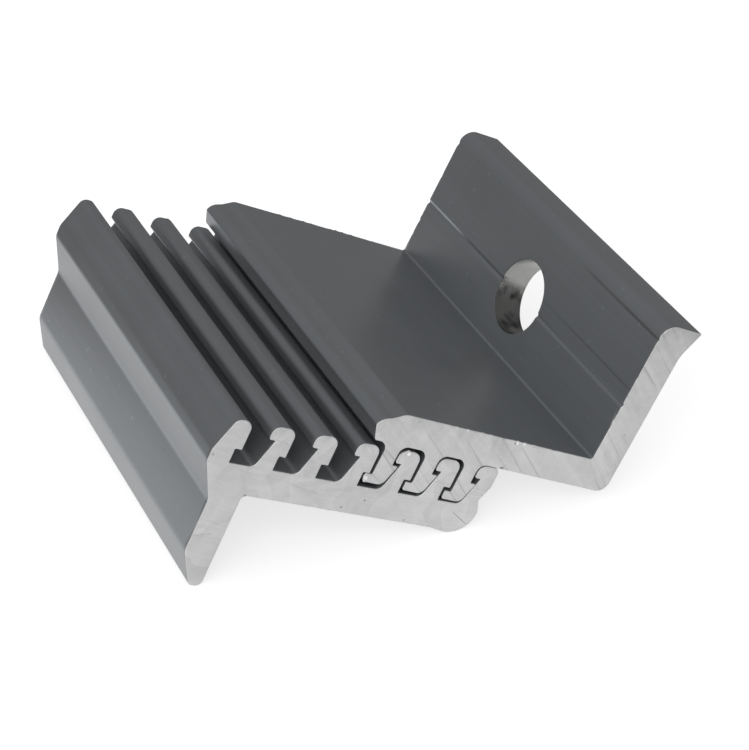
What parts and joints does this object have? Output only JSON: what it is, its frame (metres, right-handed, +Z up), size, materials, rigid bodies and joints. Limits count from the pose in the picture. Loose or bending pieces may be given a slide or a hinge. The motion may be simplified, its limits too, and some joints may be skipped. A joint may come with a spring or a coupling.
{
  "type": "solar end clamp",
  "caption": "Height-adjustable solar end clamp: a footed aluminium rack and a bolt flange whose hooks mesh with it and slide in along their length.",
  "frame": {"origin": "on the ground under the middle of the clamp's box, as it lies at rest on the foot's tip and the end pad", "axes": "+Z up; +Y along the extrusions; +X to the side, from the foot towards the bolt flange"},
  "size_m": [0.0594, 0.05, 0.0213],
  "materials": {
    "mill_aluminium": "mill-finish extrusion with sawn ends"
  },
  "bodies": {
    "lower_jaw": {"lower_jaw": "mill_aluminium"},
    "upper_jaw": {"upper_jaw": "mill_aluminium"}
  },
  "joints": [
    {"name": "rack_slide", "type": "slide", "parent": "lower_jaw", "child": "upper_jaw", "axis": [0, 1, 0], "range_m": [-0.05, 0.05]}
  ]
}
